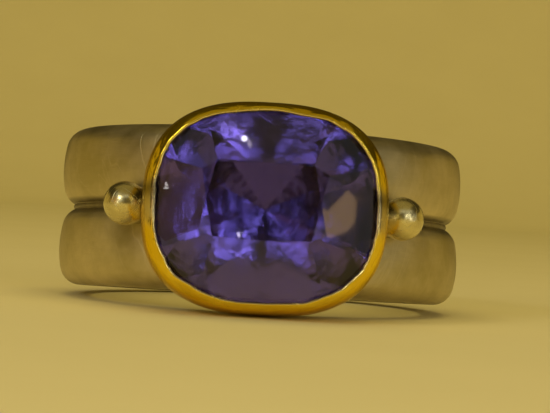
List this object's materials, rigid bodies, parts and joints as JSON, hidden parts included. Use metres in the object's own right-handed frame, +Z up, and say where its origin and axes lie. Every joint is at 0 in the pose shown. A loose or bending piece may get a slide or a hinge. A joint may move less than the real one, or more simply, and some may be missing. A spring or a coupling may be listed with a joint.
{
  "type": "cushion stone ring with a bezel setting",
  "caption": "Silver double-band ring with a gold bezel that holds a faceted violet-blue cushion stone, and a silver grain at each end of the bezel.",
  "frame": {"origin": "middle of the object's box on the surface that it lies on", "axes": "+Z up, close to the finger hole's axis; the stone faces -Y; +X to the right of one who faces the stone"},
  "size_m": [0.0214, 0.026, 0.0104],
  "materials": {
    "silver": "satin sterling silver, polished on the grains",
    "gold": "hand-burnished high-carat yellow gold",
    "tanzanite": "polished facets, deep violet-blue"
  },
  "bodies": {
    "root": {"shank": "silver", "bezel": "gold", "stone": "tanzanite"}
  },
  "joints": []
}
